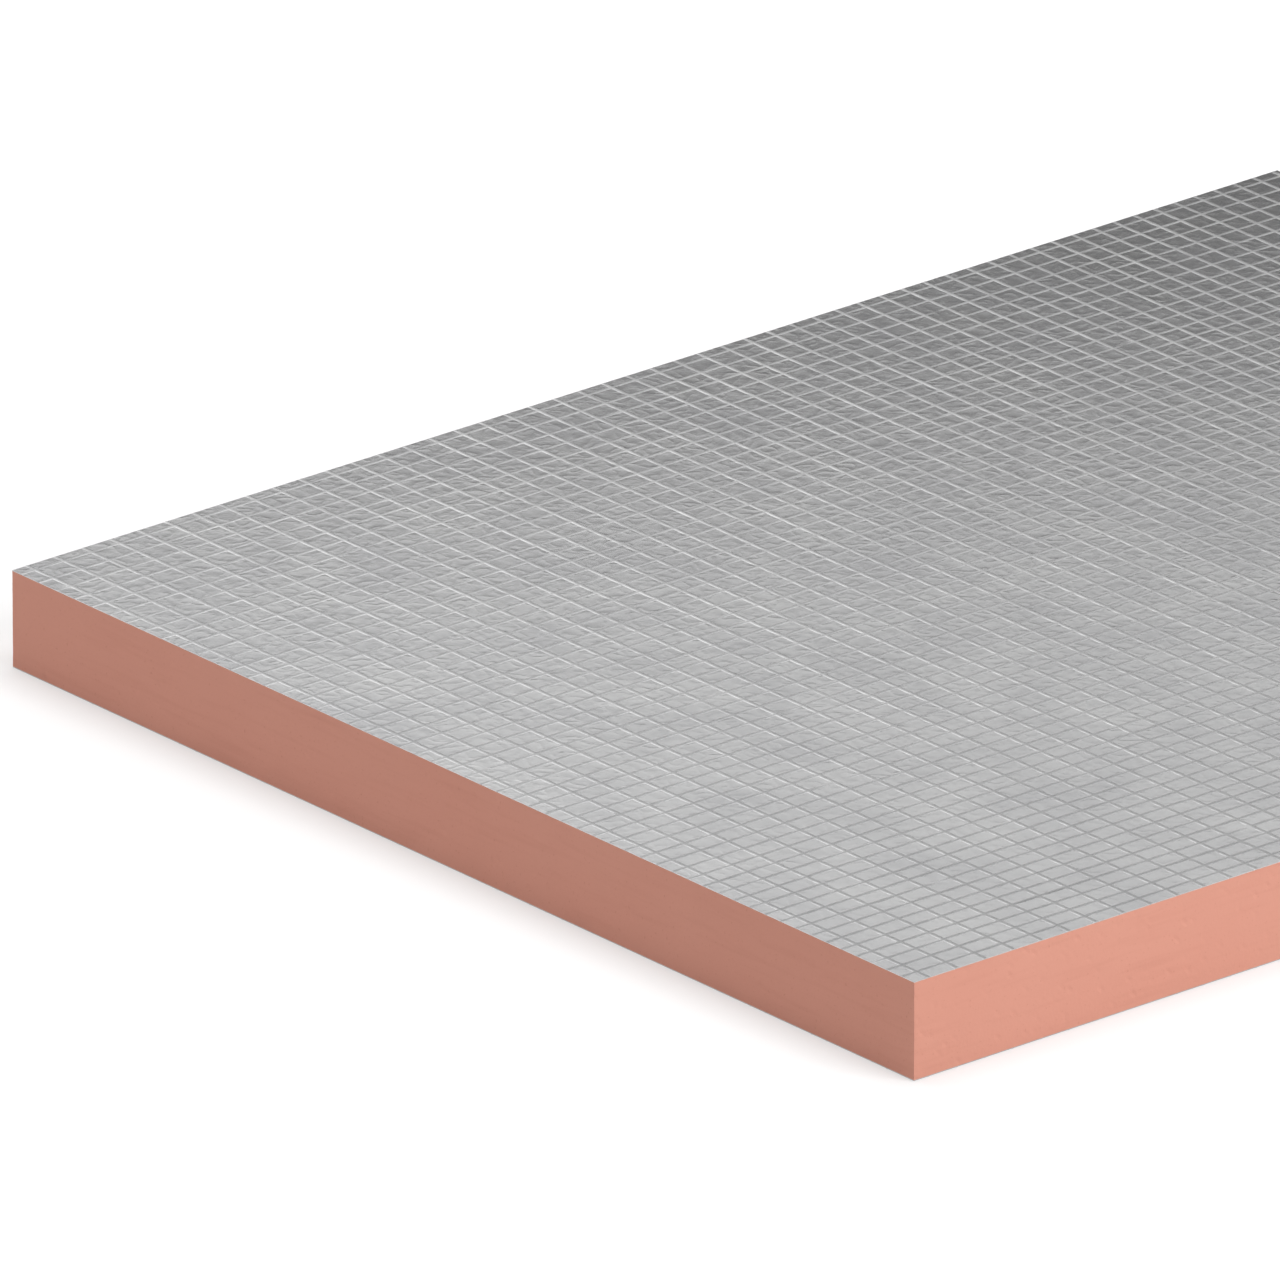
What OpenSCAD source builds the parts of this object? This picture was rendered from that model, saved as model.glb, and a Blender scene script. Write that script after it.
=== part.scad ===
// Phenolic duct panel, a sample cut square on all four sides.
// A rigid phenolic foam core carries a foil facing on each broad side. Each facing is an aluminium
// foil laminate over a laid glass scrim: lengthwise yarns on the laminate's sheet, and crosswise
// yarns laid over them. The foil follows the yarns, so they stand out as a raised grid.
//
// The panel lies flat. X is its width, Y its length and Z its thickness, and the origin is at the
// middle of its underside.

/* [Panel] */
// Length of the panel, along Y
panel_length = 347; // [120:1:600]
// Width of the panel, along X
panel_width = 287; // [120:1:600]
// Thickness over both facings, their yarns included
panel_thickness = 22; // [15:0.5:50]

/* [Facing] */
// Thickness of the foil laminate between the yarns
facing_thickness = 0.15; // [0.1:0.01:0.5]

/* [Scrim] */
// Width of a yarn where it meets the sheet
yarn_width = 0.8; // [0.4:0.05:1.5]
// Width of a yarn's flat crest
yarn_crest = 0.35; // [0.1:0.05:0.35]
// Height of a yarn
yarn_height = 0.08; // [0.05:0.01:0.3]
// Spacing of the lengthwise yarns beside the left edge
long_pitch_left = 5.8; // [3:0.1:12]
// Spacing of the lengthwise yarns beside the right edge
long_pitch_right = 4.6; // [3:0.1:12]
// Spacing of the crosswise yarns beside the front edge
cross_pitch_front = 7.6; // [3:0.1:12]
// Spacing of the crosswise yarns beside the back edge
cross_pitch_back = 5.4; // [3:0.1:12]

/* [Hidden] */

// A facing is its sheet and two crossing layers of yarns.
facing_build_up = facing_thickness + 2 * yarn_height;
core_thickness = panel_thickness - 2 * facing_build_up;

FOAM = "#DC9A86";
FOIL = "#B4B4B4";
YARN = "#C8C8C6";

// Places of the yarns across a span. The spacing drifts evenly from pitch_start to pitch_end, and
// the first yarn lies half a spacing in from the sawn edge.
function yarn_places(span, pitch_start, pitch_end, place) =
    place > span - yarn_width
        ? []
        : concat(
            [place],
            yarn_places(
                span, pitch_start, pitch_end,
                place + pitch_start + (pitch_end - pitch_start) * place / span
            )
        );

lengthwise_places = yarn_places(panel_width, long_pitch_left, long_pitch_right, long_pitch_left / 2);
crosswise_places = yarn_places(panel_length, cross_pitch_front, cross_pitch_back, cross_pitch_front / 2);

// One yarn, flattened to a low ridge, lying along X about the origin.
module yarn(length) {
    rotate([90, 0, 90])
        linear_extrude(height = length, center = true)
            polygon([
                [-yarn_width / 2, 0],
                [yarn_width / 2, 0],
                [yarn_crest / 2, yarn_height],
                [-yarn_crest / 2, yarn_height]
            ]);
}

module lengthwise_yarns() {
    for (place = lengthwise_places)
        translate([place - panel_width / 2, 0, 0])
            rotate([0, 0, 90])
                yarn(panel_length);
}

module crosswise_yarns() {
    for (place = crosswise_places)
        translate([0, place - panel_length / 2, yarn_height])
            yarn(panel_width);
}

module sheet(thickness) {
    translate([-panel_width / 2, -panel_length / 2, 0])
        cube([panel_width, panel_length, thickness]);
}

// Sets a layer that is drawn upwards from a facing's outer side on the top of the panel.
module on_top() {
    translate([0, 0, panel_thickness - 2 * yarn_height])
        children();
}

// The same layer, turned over for the underside.
module on_bottom() {
    translate([0, 0, 2 * yarn_height])
        mirror([0, 0, 1])
            children();
}

module facing_sheet() {
    translate([0, 0, -facing_thickness])
        sheet(facing_thickness);
}

module foam_core() {
    color(FOAM)
        translate([0, 0, facing_build_up])
            sheet(core_thickness);
}

module top_facing() {
    color(FOIL) on_top() facing_sheet();
}

module top_lengthwise_yarns() {
    color(YARN) on_top() lengthwise_yarns();
}

module top_crosswise_yarns() {
    color(YARN) on_top() crosswise_yarns();
}

module bottom_facing() {
    color(FOIL) on_bottom() facing_sheet();
}

module bottom_lengthwise_yarns() {
    color(YARN) on_bottom() lengthwise_yarns();
}

module bottom_crosswise_yarns() {
    color(YARN) on_bottom() crosswise_yarns();
}

foam_core();
top_facing();
top_lengthwise_yarns();
top_crosswise_yarns();
bottom_facing();
bottom_lengthwise_yarns();
bottom_crosswise_yarns();
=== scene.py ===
# Phenolic duct panel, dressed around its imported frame: a sawn phenolic foam core with an embossed
# aluminium foil facing bonded to each broad side, lying flat on a pale floor in soft studio light.
import math
import bmesh
import bpy
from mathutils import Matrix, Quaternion, Vector, noise


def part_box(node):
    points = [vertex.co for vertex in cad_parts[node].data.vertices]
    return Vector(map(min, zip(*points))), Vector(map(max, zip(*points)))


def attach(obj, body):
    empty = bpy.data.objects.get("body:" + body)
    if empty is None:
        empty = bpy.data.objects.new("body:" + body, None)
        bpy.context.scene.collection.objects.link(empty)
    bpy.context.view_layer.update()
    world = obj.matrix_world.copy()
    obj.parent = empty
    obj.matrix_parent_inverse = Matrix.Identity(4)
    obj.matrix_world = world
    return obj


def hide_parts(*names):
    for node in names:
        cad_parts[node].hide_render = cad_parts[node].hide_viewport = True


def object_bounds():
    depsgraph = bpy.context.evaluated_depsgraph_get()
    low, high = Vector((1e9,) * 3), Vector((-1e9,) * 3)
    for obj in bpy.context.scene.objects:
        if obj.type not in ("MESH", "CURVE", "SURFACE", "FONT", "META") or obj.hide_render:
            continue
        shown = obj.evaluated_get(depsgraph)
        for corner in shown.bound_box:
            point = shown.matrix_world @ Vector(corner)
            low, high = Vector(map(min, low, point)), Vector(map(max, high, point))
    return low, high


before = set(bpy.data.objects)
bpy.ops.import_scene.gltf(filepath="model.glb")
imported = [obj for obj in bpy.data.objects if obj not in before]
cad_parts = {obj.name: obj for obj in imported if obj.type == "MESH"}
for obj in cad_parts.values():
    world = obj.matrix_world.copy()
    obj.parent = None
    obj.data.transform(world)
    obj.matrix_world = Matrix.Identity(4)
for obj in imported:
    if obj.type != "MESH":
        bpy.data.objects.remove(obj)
cad_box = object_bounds()

# Foam core. A slab of rigid closed-cell phenolic foam, laid down between the two facings and sawn
# square on all four sides. The saw leaves the sawn faces level and dull, with faint level streaks
# and small torn pits, and no facing turns down over them.
core_low, core_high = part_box("foam_core")
saw_step = 0.00106
clean_rim = 0.0008
pit_depth, pit_size = 0.00014, 0.0009
pit_onset, pit_range = 0.42, 0.4
ripple_depth, ripple_height, ripple_length = 0.00003, 0.0016, 0.04
foam_tone = "#DE9D8A"
foam_dark_tone = "#C07C69"
foam_pale_tone = "#E9AE9B"
# A Mix node has several sockets of each name, so its colour sockets go by their numbers.
COLOUR_A, COLOUR_B, COLOUR_OUT = 6, 7, 2


def linear(hex_colour):
    """An sRGB hex colour as the linear RGBA that Blender's sockets take."""
    parts = [int(hex_colour[at:at + 2], 16) / 255 for at in (1, 3, 5)]
    return [part / 12.92 if part <= 0.04045 else ((part + 0.055) / 1.055) ** 2.4 for part in parts] + [1.0]


def add_node(tree, kind, inputs=None, **settings):
    """Adds a node with its settings. Each input is given a value, or the output that feeds it."""
    node = tree.nodes.new(kind)
    for name, value in settings.items():
        setattr(node, name, value)
    for name, value in (inputs or {}).items():
        if isinstance(value, bpy.types.NodeSocket):
            tree.links.new(value, node.inputs[name])
        else:
            node.inputs[name].default_value = value
    return node


def new_material(name):
    """A material with an empty node tree, and that tree."""
    material = bpy.data.materials.new(name)
    material.use_nodes = True
    material.node_tree.nodes.clear()
    return material, material.node_tree


def add_piece(name, shape, material):
    """Makes a finished bmesh a piece of the panel."""
    mesh = bpy.data.meshes.new(name)
    shape.to_mesh(mesh)
    shape.free()
    mesh.materials.append(material)
    piece = bpy.data.objects.new(name, mesh)
    bpy.context.scene.collection.objects.link(piece)
    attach(piece, "root")
    return piece


def sawn_slab(low, high):
    """A slab whose four sides are drawn up in level steps, so that they can take pits and ripples."""
    slab = bmesh.new()
    corners = [
        slab.verts.new((x, y, low.z))
        for x, y in ((low.x, low.y), (high.x, low.y), (high.x, high.y), (low.x, high.y))
    ]
    for side, corner in enumerate(corners):
        slab.edges.new((corner, corners[(side + 1) % len(corners)]))
    for axis in (0, 1):
        along = [edge for edge in slab.edges if edge.verts[0].co[axis] != edge.verts[1].co[axis]]
        cuts = round(along[0].calc_length() / saw_step) - 1
        bmesh.ops.subdivide_edges(slab, edges=along, cuts=cuts)
    ring = slab.edges[:]
    first_ring = ring
    levels = round((high.z - low.z) / saw_step)
    for level in range(1, levels + 1):
        drawn = bmesh.ops.extrude_edge_only(slab, edges=ring)["geom"]
        for vertex in drawn:
            if isinstance(vertex, bmesh.types.BMVert):
                vertex.co.z = low.z + (high.z - low.z) * level / levels
        ring = [edge for edge in drawn if isinstance(edge, bmesh.types.BMEdge) and edge.is_boundary]
    bmesh.ops.contextual_create(slab, geom=first_ring)
    bmesh.ops.contextual_create(slab, geom=ring)
    bmesh.ops.recalc_face_normals(slab, faces=slab.faces)
    return slab


def torn_by_the_saw(at):
    """How far the saw has cut into a sawn face at a place."""
    torn = noise.noise(at / pit_size)
    ripple = noise.noise(Vector((at.x / ripple_length, at.y / ripple_length, at.z / ripple_height)))
    return pit_depth * max(0.0, torn - pit_onset) / pit_range + ripple_depth * (0.5 + 0.5 * ripple)


core = sawn_slab(core_low, core_high)
for vertex in core.verts:
    here = vertex.co.copy()
    rim_share = min(1.0, min(here.z - core_low.z, core_high.z - here.z) / clean_rim)
    cut = torn_by_the_saw(here) * rim_share
    for axis in (0, 1):
        if here[axis] == core_low[axis]:
            vertex.co[axis] += cut
        if here[axis] == core_high[axis]:
            vertex.co[axis] -= cut

# Rigid phenolic foam, sawn: dull salmon pink and nearly even, with faint level streaks a millimetre
# or two high and slow drifts of tone. The cut cells are about 0.1 mm across. Their grain is drawn
# coarser, at about 0.35 mm, as bump and as small darker specks.
sawn_foam, tree = new_material("sawn_phenolic_foam")
place = add_node(tree, "ShaderNodeTexCoord").outputs["Object"]
level_place = add_node(
    tree, "ShaderNodeMapping", {"Vector": place, "Scale": (0.08, 0.08, 1.0)},
).outputs["Vector"]
grain = add_node(
    tree, "ShaderNodeTexNoise", {"Vector": place, "Scale": 1 / 0.0007, "Detail": 3.0},
).outputs["Fac"]
streaks = add_node(
    tree, "ShaderNodeTexNoise", {"Vector": level_place, "Scale": 1 / 0.0016, "Detail": 3.0},
).outputs["Fac"]
drift = add_node(
    tree, "ShaderNodeTexNoise", {"Vector": place, "Scale": 1 / 0.03, "Detail": 2.0},
).outputs["Fac"]
pale_share = add_node(
    tree, "ShaderNodeMapRange",
    {"Value": drift, "From Min": 0.35, "From Max": 0.7, "To Min": 0.0, "To Max": 0.12},
).outputs["Result"]
streak_share = add_node(
    tree, "ShaderNodeMapRange",
    {"Value": streaks, "From Min": 0.52, "From Max": 0.75, "To Min": 0.0, "To Max": 0.11},
).outputs["Result"]
speck_share = add_node(
    tree, "ShaderNodeMapRange",
    {"Value": grain, "From Min": 0.64, "From Max": 0.74, "To Min": 0.0, "To Max": 0.35},
).outputs["Result"]
drifting = add_node(
    tree, "ShaderNodeMix",
    {"Factor": pale_share, COLOUR_A: linear(foam_tone), COLOUR_B: linear(foam_pale_tone)},
    data_type="RGBA",
).outputs[COLOUR_OUT]
streaked = add_node(
    tree, "ShaderNodeMix", {"Factor": streak_share, COLOUR_A: drifting, COLOUR_B: linear(foam_dark_tone)},
    data_type="RGBA",
).outputs[COLOUR_OUT]
specked = add_node(
    tree, "ShaderNodeMix", {"Factor": speck_share, COLOUR_A: streaked, COLOUR_B: linear(foam_dark_tone)},
    data_type="RGBA",
).outputs[COLOUR_OUT]
cells = add_node(
    tree, "ShaderNodeBump", {"Height": grain, "Strength": 0.35, "Distance": 0.0001},
).outputs["Normal"]
foam_shader = add_node(
    tree, "ShaderNodeBsdfPrincipled",
    {"Base Color": specked, "Roughness": 0.92, "Specular IOR Level": 0.3, "Normal": cells},
).outputs["BSDF"]
add_node(tree, "ShaderNodeOutputMaterial", {"Surface": foam_shader})

core_piece = add_piece("sawn_foam_core", core, sawn_foam)
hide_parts("foam_core")

# Foil facings, one on each broad side. Each is an aluminium foil laminate over a laid glass scrim,
# bonded to the foam as it rises. The foil is pressed down round the yarns, so they stand out as a
# grid of low ridges: the crosswise yarns lie over the lengthwise ones, and sag in between.
long_foot, long_shoulder = 0.0005, 0.00012
cross_foot, cross_shoulder = 0.00058, 0.00012
yarn_wander, wander_length = 0.00015, 0.04
long_unevenness, cross_unevenness, uneven_length = 0.9, 0.6, 0.012
yarn_to_yarn = 0.004
edge_fade_width = 0.004
sag_between_yarns = 0.5
# The ridges are drawn lower toward the back left corner, so that they glint less beside the dark foil.
flatter_at_back_left = 0.4
foil_tone = "#CACACA"
foil_dark_tone = "#C0C0C1"
crest_tolerance = 1e-6
level_steepness, slope_steepness = 1e-6, 1e-4


def yarn_middles(node, axis, crest_height):
    """The middles of a node's yarns along an axis, from the two edges of each flat crest."""
    places = [vertex.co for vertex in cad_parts[node].data.vertices]
    on_crest = [place for place in places if abs(place.z - crest_height) < crest_tolerance]
    edges = sorted({round(place[axis], 6) for place in on_crest})
    return [(left + right) / 2 for left, right in zip(edges[::2], edges[1::2])]


def ruled_lines(start, end, middles, foot, shoulder):
    """Grid lines across a facing: its edges, four to a yarn and one halfway to the next yarn.
    Each line is its place, the middle of its yarn if it has one, and its share of the yarn's height."""
    lines = [(start, None, 0.0)]
    for number, middle in enumerate(middles):
        for offset, share in ((-foot, 0.0), (-shoulder, 1.0), (shoulder, 1.0), (foot, 0.0)):
            lines.append((middle + offset, middle, share))
        if number + 1 < len(middles):
            lines.append(((middle + middles[number + 1]) / 2, None, 0.0))
    lines.append((end, None, 0.0))
    return lines


def wander(middle, along, turn):
    """How far a yarn strays sideways at a place along it. The turn picks one of the noise's layers."""
    if middle is None:
        return 0.0
    return yarn_wander * noise.noise(Vector((middle / yarn_to_yarn, along / wander_length, turn)))


def showing(across, along, unevenness, turn):
    """The share of a yarn's height that shows through the foil at a place along it."""
    drift = noise.noise(Vector((across / yarn_to_yarn, along / uneven_length, turn)))
    return min(1.0, 1.0 - unevenness / 2 + unevenness * drift)


def embossed_facing(name, sheet, lengthwise, crosswise, outwards):
    """One facing: a sheet ruled at its yarns, raised over them, and closed against the foam."""
    low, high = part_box(sheet)
    inner, flat = (low.z, high.z) if outwards > 0 else (high.z, low.z)
    long_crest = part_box(lengthwise)[outwards > 0].z
    cross_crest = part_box(crosswise)[outwards > 0].z
    long_middles = yarn_middles(lengthwise, 0, long_crest)
    cross_middles = yarn_middles(crosswise, 1, cross_crest)
    columns = ruled_lines(low.x, high.x, long_middles, long_foot, long_shoulder)
    rows = ruled_lines(low.y, high.y, cross_middles, cross_foot, cross_shoulder)
    long_height, cross_height = abs(long_crest - flat), abs(cross_crest - flat)
    facing = bmesh.new()
    over_yarn = facing.verts.layers.float.new("over_yarn")
    bmesh.ops.create_grid(facing, x_segments=len(columns) - 1, y_segments=len(rows) - 1, size=0.5)
    for vertex in facing.verts:
        x, long_middle, long_share = columns[round((vertex.co.x + 0.5) * (len(columns) - 1))]
        y, cross_middle, cross_share = rows[round((vertex.co.y + 0.5) * (len(rows) - 1))]
        from_edge = min(x - low.x, high.x - x, y - low.y, high.y - y)
        edge_fade = min(1.0, from_edge / edge_fade_width)
        side_way = edge_fade * wander(long_middle, y, outwards)
        long_way = edge_fade * wander(cross_middle, x, outwards + 10)
        long_shows = showing(long_middle or x, y, long_unevenness, outwards + 20)
        cross_shows = showing(cross_middle or y, x, cross_unevenness, outwards + 30)
        over_long = long_height * long_share * long_shows
        over_cross = cross_height * cross_share * cross_shows
        if long_middle is None:
            over_cross *= 1 - sag_between_yarns
        from_right, from_front = (high.x - x) / (high.x - low.x), (y - low.y) / (high.y - low.y)
        relief = 1 - flatter_at_back_left * (from_right + from_front) / 2
        height = relief * max(over_long, over_cross)
        vertex[over_yarn] = relief if height > 0.0 else 0.0
        vertex.co = Vector((x + side_way, y + long_way, flat + outwards * height))
    rim_edges = [edge for edge in facing.edges if edge.is_boundary]
    drawn = bmesh.ops.extrude_edge_only(facing, edges=rim_edges)["geom"]
    for vertex in drawn:
        if isinstance(vertex, bmesh.types.BMVert):
            vertex.co.z = inner
    back_edges = [edge for edge in drawn if isinstance(edge, bmesh.types.BMEdge) and edge.is_boundary]
    bmesh.ops.contextual_create(facing, geom=back_edges)
    bmesh.ops.recalc_face_normals(facing, faces=facing.faces)
    facing.normal_update()
    for face in facing.faces:
        face.smooth = abs(face.normal.z) > 0.5
    # An edge is sharp where a level flat meets a slope, so that the flats shade as flats.
    for edge in facing.edges:
        steepness = sorted(1 - abs(face.normal.z) for face in edge.link_faces)
        edge.smooth = steepness[0] > level_steepness or steepness[-1] < slope_steepness
    piece = add_piece(name, facing, embossed_foil)
    flats_stay_flat = piece.modifiers.new("flats stay flat", "WEIGHTED_NORMAL")
    flats_stay_flat.mode = "FACE_AREA"
    flats_stay_flat.keep_sharp = True
    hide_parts(sheet, lengthwise, crosswise)


# Aluminium foil laminate, rolled bright and dulled by a clear lacquer and by the press: a soft grey
# metal with broad highlights, slow clouding, and fine folds and dimples one to four millimetres
# apart. Over the yarns it is drawn duller, which softens the ridges' glints.
embossed_foil, tree = new_material("embossed_aluminium_foil")
place = add_node(tree, "ShaderNodeTexCoord").outputs["Object"]
folds = add_node(
    tree, "ShaderNodeTexNoise",
    {
        "Vector": place, "Scale": 1 / 0.0035, "Detail": 2.0, "Lacunarity": 2.2,
        "Offset": 0.9, "Gain": 1.0, "Distortion": 0.4,
    },
    noise_type="RIDGED_MULTIFRACTAL",
).outputs["Fac"]
dimples = add_node(
    tree, "ShaderNodeTexNoise", {"Vector": place, "Scale": 1 / 0.0014, "Detail": 2.0},
).outputs["Fac"]
clouding = add_node(
    tree, "ShaderNodeTexNoise", {"Vector": place, "Scale": 1 / 0.02, "Detail": 3.0},
).outputs["Fac"]
cloud_share = add_node(
    tree, "ShaderNodeMapRange", {"Value": clouding, "From Min": 0.3, "From Max": 0.7},
).outputs["Result"]
foil_colour = add_node(
    tree, "ShaderNodeMix",
    {"Factor": cloud_share, COLOUR_A: linear(foil_tone), COLOUR_B: linear(foil_dark_tone)},
    data_type="RGBA",
).outputs[COLOUR_OUT]
flat_roughness = add_node(
    tree, "ShaderNodeMapRange",
    {"Value": clouding, "From Min": 0.3, "From Max": 0.7, "To Min": 0.19, "To Max": 0.21},
).outputs["Result"]
over_yarn = add_node(tree, "ShaderNodeAttribute", attribute_name="over_yarn").outputs["Fac"]
foil_roughness = add_node(
    tree, "ShaderNodeMapRange", {"Value": over_yarn, "To Min": flat_roughness, "To Max": 0.52},
).outputs["Result"]
folded = add_node(
    tree, "ShaderNodeBump", {"Height": folds, "Strength": 0.42, "Distance": 0.000055},
).outputs["Normal"]
creased = add_node(
    tree, "ShaderNodeBump", {"Height": dimples, "Normal": folded, "Strength": 0.5, "Distance": 0.00004},
).outputs["Normal"]
foil_shader = add_node(
    tree, "ShaderNodeBsdfPrincipled",
    {"Base Color": foil_colour, "Metallic": 1.0, "Roughness": foil_roughness, "Normal": creased},
).outputs["BSDF"]
add_node(tree, "ShaderNodeOutputMaterial", {"Surface": foil_shader})

for name, side, outwards in (("top_foil_facing", "top", 1), ("underside_foil_facing", "bottom", -1)):
    embossed_facing(
        name, f"{side}_facing", f"{side}_lengthwise_yarns", f"{side}_crosswise_yarns", outwards,
    )

# Floor. A plain white board that the panel lies on. The camera and the foil see it white, and the
# panel's soft shadow stays on it.
floor_reach = 30.0
floor_shape = bmesh.new()
bmesh.ops.create_grid(floor_shape, x_segments=1, y_segments=1, size=floor_reach)
floor_mesh = bpy.data.meshes.new("floor")
floor_shape.to_mesh(floor_mesh)
floor_shape.free()
floor = bpy.data.objects.new("floor", floor_mesh)
bpy.context.scene.collection.objects.link(floor)

# Matt white board. It glows a little for the camera, metal and glass, so that it comes out white.
white_board, tree = new_material("white_board")
rays = add_node(tree, "ShaderNodeLightPath").outputs
camera_or_glossy = add_node(
    tree, "ShaderNodeMath", {0: rays["Is Camera Ray"], 1: rays["Is Glossy Ray"]}, operation="MAXIMUM",
).outputs["Value"]
seen_white = add_node(
    tree, "ShaderNodeMath", {0: camera_or_glossy, 1: rays["Is Transmission Ray"]}, operation="MAXIMUM",
).outputs["Value"]
board = add_node(tree, "ShaderNodeBsdfDiffuse", {"Color": linear("#BCBCBC")}).outputs["BSDF"]
glow_strength = add_node(
    tree, "ShaderNodeMath", {0: seen_white, 1: 0.4}, operation="MULTIPLY",
).outputs["Value"]
glow = add_node(tree, "ShaderNodeEmission", {"Strength": glow_strength}).outputs["Emission"]
lit_board = add_node(tree, "ShaderNodeAddShader", {0: board, 1: glow}).outputs["Shader"]
add_node(tree, "ShaderNodeOutputMaterial", {"Surface": lit_board})
floor_mesh.materials.append(white_board)

# Studio. Pale walls stand all round, and light the panel most from near the floor, with six soft
# boxes. Metal sees the walls bright, and brightest at the front right, but for a dim part at the
# back left. The camera sees that part mirrored in the panel's far end.
mirrored_azimuth = 229.8
lamp_distance = 1.2


def bearing(azimuth, elevation):
    """The direction of a bearing round the panel. Azimuth 0 is in front, at -Y, and 90 is at +X."""
    turn, rise = math.radians(azimuth), math.radians(elevation)
    return Vector((math.sin(turn) * math.cos(rise), -math.cos(turn) * math.cos(rise), math.sin(rise)))


world = bpy.data.worlds.new("pale studio")
bpy.context.scene.world = world
world.use_nodes = True
tree = world.node_tree
tree.nodes.clear()
look = add_node(tree, "ShaderNodeTexCoord").outputs["Generated"]
look_height = add_node(tree, "ShaderNodeSeparateXYZ", {"Vector": look}).outputs["Z"]
wall_light = add_node(
    tree, "ShaderNodeMapRange",
    {"Value": look_height, "From Min": 0.05, "From Max": 0.3, "To Min": 0.7, "To Max": 0.13},
    interpolation_type="SMOOTHSTEP",
).outputs["Result"]
nearness = add_node(
    tree, "ShaderNodeVectorMath", {0: look, 1: bearing(mirrored_azimuth, 20)}, operation="DOT_PRODUCT",
).outputs["Value"]
upward = add_node(
    tree, "ShaderNodeVectorMath", {0: look, 1: bearing(mirrored_azimuth, 40)}, operation="DOT_PRODUCT",
).outputs["Value"]
wall_fade = add_node(
    tree, "ShaderNodeMapRange",
    {"Value": upward, "From Min": -0.6, "From Max": 0.9, "To Min": 1.3, "To Max": 0.35},
).outputs["Result"]
pale_wall = add_node(
    tree, "ShaderNodeMapRange",
    {"Value": nearness, "From Min": 0.62, "From Max": 0.88, "To Min": wall_fade, "To Max": 0.0},
    interpolation_type="SMOOTHSTEP",
).outputs["Result"]
rays = add_node(tree, "ShaderNodeLightPath").outputs
metal_or_glass = add_node(
    tree, "ShaderNodeMath", {0: rays["Is Glossy Ray"], 1: rays["Is Transmission Ray"]}, operation="MAXIMUM",
).outputs["Value"]
mirrored_wall = add_node(
    tree, "ShaderNodeMath", {0: pale_wall, 1: metal_or_glass}, operation="MULTIPLY",
).outputs["Value"]
bright_wall = add_node(
    tree, "ShaderNodeMath", {0: mirrored_wall, 1: rays["Is Camera Ray"]}, operation="MAXIMUM",
).outputs["Value"]
wall_strength = add_node(
    tree, "ShaderNodeMath", {0: wall_light, 1: bright_wall}, operation="MAXIMUM",
).outputs["Value"]
walls = add_node(
    tree, "ShaderNodeBackground", {"Color": linear("#FFFFFF"), "Strength": wall_strength},
).outputs["Background"]
add_node(tree, "ShaderNodeOutputWorld", {"Surface": walls})


def soft_box(name, place, away, width, height, watts, turn=0.0):
    """A soft box at a place. It shines back along a direction, and can be turned about it."""
    light = bpy.data.lights.new(name, "AREA")
    light.shape = "RECTANGLE"
    light.size = width
    light.size_y = height
    light.energy = watts
    lamp = bpy.data.objects.new(name, light)
    bpy.context.scene.collection.objects.link(lamp)
    lamp.location = place
    lamp.rotation_mode = "QUATERNION"
    about_its_axis = Quaternion((0.0, 0.0, 1.0), math.radians(turn))
    lamp.rotation_quaternion = away.to_track_quat("Z", "Y") @ about_its_axis
    return lamp


# The last value says whether metal mirrors the box. A mirrored lamp would bleach the foil where
# someone looks at it from above or from the far side.
for name, azimuth, elevation, width, height, watts, mirrored in (
    ("overhead_soft_box", 0, 89, 0.9, 0.9, 10.2, False),
    ("right_soft_box", 95, 40, 0.8, 0.6, 9.8, False),
    ("front_soft_box", 0, 30, 0.8, 0.5, 1.4, False),
    ("left_front_soft_box", 300, 25, 0.8, 0.6, 2.1, False),
    ("left_soft_box", 255, 45, 0.7, 0.6, 1.1, True),
):
    away = bearing(azimuth, elevation)
    lamp = soft_box(name, away * lamp_distance, away, width, height, watts)
    lamp.visible_glossy = mirrored
# The foil's flats mirror this low box as the camera sees them. Past its far edge they mirror the dim
# part of the walls, so the panel's far end is darker.
low_place, straight_up = Vector((-0.470, 0.332, 0.36)), Vector((0.0, 0.0, 1.0))
soft_box("low_back_soft_box", low_place, straight_up, 0.62, 0.8, 1.26, mirrored_azimuth - 90)

# Camera. A long lens looks down on the panel's near corner, so its edges run almost parallel, and
# the right corner runs out of the picture.
camera_azimuth, camera_elevation = 49.81, 22.37
lens_mm = 1102.2
camera_distance = 7.9134
corner_right, corner_down = 0.05533, 0.08919
camera_data = bpy.data.cameras.new("camera")
camera_data.lens = lens_mm
camera_data.clip_start = 1.0
camera_data.clip_end = 100.0
camera = bpy.data.objects.new("camera", camera_data)
bpy.context.scene.collection.objects.link(camera)
picture_right = bearing(camera_azimuth + 90, 0)
towards_camera = bearing(camera_azimuth, camera_elevation)
picture_up = towards_camera.cross(picture_right)
near_corner = Vector((cad_box[1].x, cad_box[0].y, cad_box[0].z))
camera.location = (
    near_corner - picture_right * corner_right + picture_up * corner_down + towards_camera * camera_distance
)
camera.rotation_mode = "QUATERNION"
camera.rotation_quaternion = towards_camera.to_track_quat("Z", "Y")
bpy.context.scene.camera = camera

bpy.context.scene.view_settings.view_transform = "Standard"
